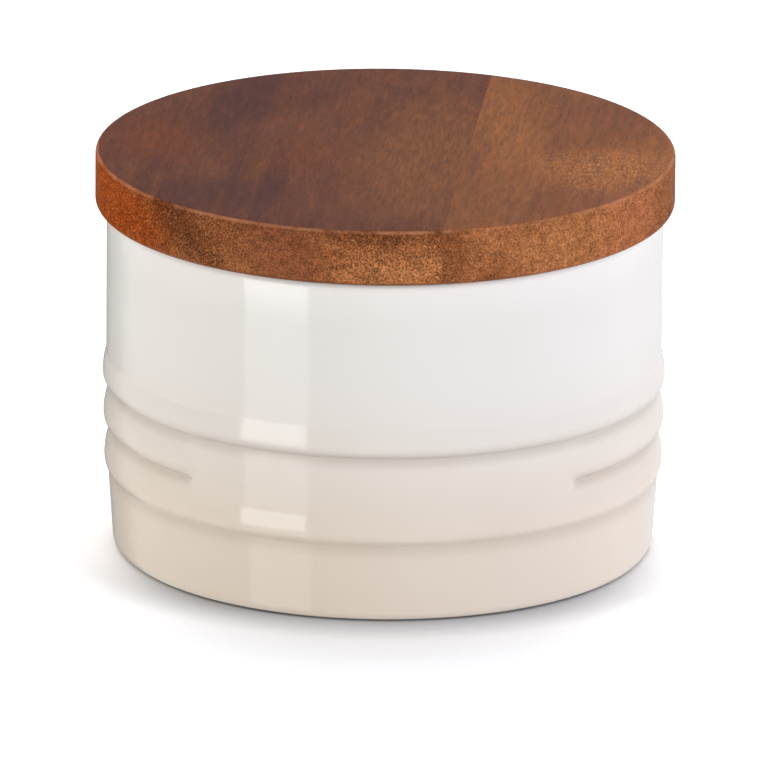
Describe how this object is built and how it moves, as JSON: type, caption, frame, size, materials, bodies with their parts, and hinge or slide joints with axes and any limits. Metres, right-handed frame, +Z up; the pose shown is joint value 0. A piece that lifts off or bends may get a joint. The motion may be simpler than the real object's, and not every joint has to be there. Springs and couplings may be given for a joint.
{
  "type": "salt keeper",
  "caption": "Round glazed stoneware jar with raised ribs and a lift-off wooden lid, with a plug and a soft seal under the boards that close the mouth.",
  "frame": {"origin": "centre of the foot ring, on the surface that the jar stands on", "axes": "+Z up along the axis of the jar; -Y towards the front, where the bare panel interrupts the lowest groove; +X to the right seen from the front"},
  "size_m": [0.108, 0.108, 0.0764],
  "materials": {
    "glaze": "glossy cream glaze over stoneware, warmer towards the foot",
    "dark_acacia": "oiled, dark brown heartwood with fine pores",
    "golden_acacia": "oiled, red-brown with a golden band",
    "plain_acacia": "oiled, mid brown",
    "silicone": "soft matt translucent white"
  },
  "bodies": {
    "jar": {"jar": "glaze"},
    "seal": {"seal_ring": "silicone"},
    "lid": {"lid_board_left": "dark_acacia", "lid_board_right": "golden_acacia", "lid_plug": "plain_acacia"}
  },
  "joints": [
    {"name": "lid_lift", "type": "slide", "parent": "jar", "child": "seal", "axis": [0, 0, 1], "range_m": [0, 0.12]},
    {"name": "lid_turn", "type": "hinge", "parent": "seal", "child": "lid", "pos_m": [0, 0, 0.0657], "axis": [0, 0, 1], "continuous": true}
  ]
}
